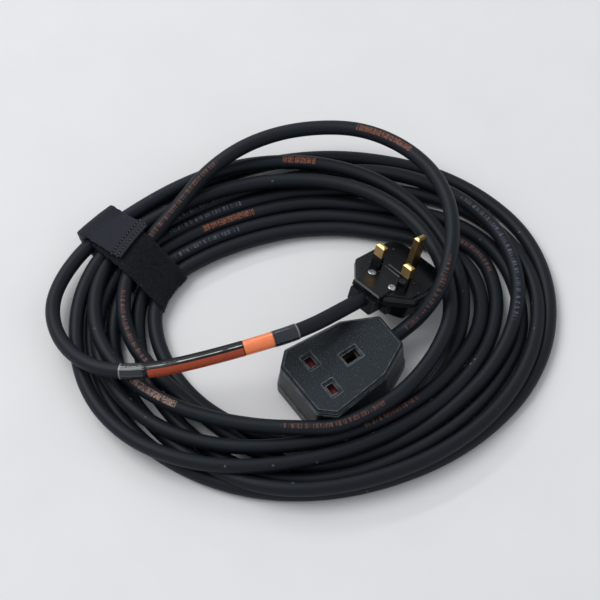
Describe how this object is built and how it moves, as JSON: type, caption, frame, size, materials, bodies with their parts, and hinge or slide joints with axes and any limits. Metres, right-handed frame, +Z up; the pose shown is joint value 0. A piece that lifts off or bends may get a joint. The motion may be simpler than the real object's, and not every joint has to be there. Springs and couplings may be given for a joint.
{
  "type": "extension lead",
  "caption": "Coiled rubber extension lead with a fused three-pin plug, a shuttered trailing socket, a marked sleeve on the cord and a hook-and-loop tie.",
  "frame": {"origin": "under the middle of the socket's back, on the surface that the lead lies on", "axes": "+X along the socket towards its cord, +Y to its neutral side, +Z up out of its face"},
  "size_m": [0.3016, 0.2649, 0.05],
  "materials": {
    "case_rubber": "fine moulded grain",
    "cord_rubber": "matt",
    "black_plastic": "gloss",
    "pale_plastic": "satin",
    "red_plastic": "satin",
    "brass": "bright",
    "steel": "zinc plated",
    "fuse_ceramic": "glazed",
    "brown_insulation": "satin",
    "blue_insulation": "satin",
    "earth_insulation": "satin",
    "dark_label": "printed",
    "orange_label": "printed",
    "clear_sleeve": "clear, heat shrunk",
    "tie_fabric": "hook and loop pile"
  },
  "bodies": {
    "lead": {"socket_top_shell": "case_rubber", "socket_base": "case_rubber", "socket_carrier": "pale_plastic", "shutter_spring": "steel", "socket_live_contact": "brass", "socket_neutral_contact": "brass", "socket_earth_contact": "brass", "socket_terminal_screws": "brass", "socket_cord_clamp": "pale_plastic", "socket_clamp_screws": "steel", "socket_case_screws": "steel", "socket_live_core": "brown_insulation", "socket_neutral_core": "blue_insulation", "socket_earth_core": "earth_insulation", "plug_cover": "case_rubber", "plug_base": "black_plastic", "plug_earth_pin": "brass", "plug_live_pin": "brass", "plug_neutral_pin": "brass", "plug_live_sleeve": "black_plastic", "plug_neutral_sleeve": "black_plastic", "plug_live_terminal": "brass", "plug_fuse_body": "fuse_ceramic", "plug_fuse_caps": "steel", "plug_terminal_screws": "brass", "plug_grip_bar": "black_plastic", "plug_grip_screws": "steel", "plug_earth_core": "earth_insulation", "plug_neutral_core": "blue_insulation", "plug_live_core": "brown_insulation", "cord_coil": "cord_rubber", "cord_plug_end": "cord_rubber", "cord_socket_end": "cord_rubber", "label_wrap": "dark_label", "label_band": "orange_label", "label_sleeve": "clear_sleeve", "cord_tie": "tie_fabric"},
    "shutter": {"socket_shutter": "red_plastic"}
  },
  "joints": [
    {"name": "shutter_slide", "type": "slide", "parent": "lead", "child": "shutter", "axis": [1, 0, 0], "range_m": [0, 0.0062], "stiffness_N_per_m": 60, "springref_m": -0.004, "deforming": ["shutter_spring"]}
  ]
}
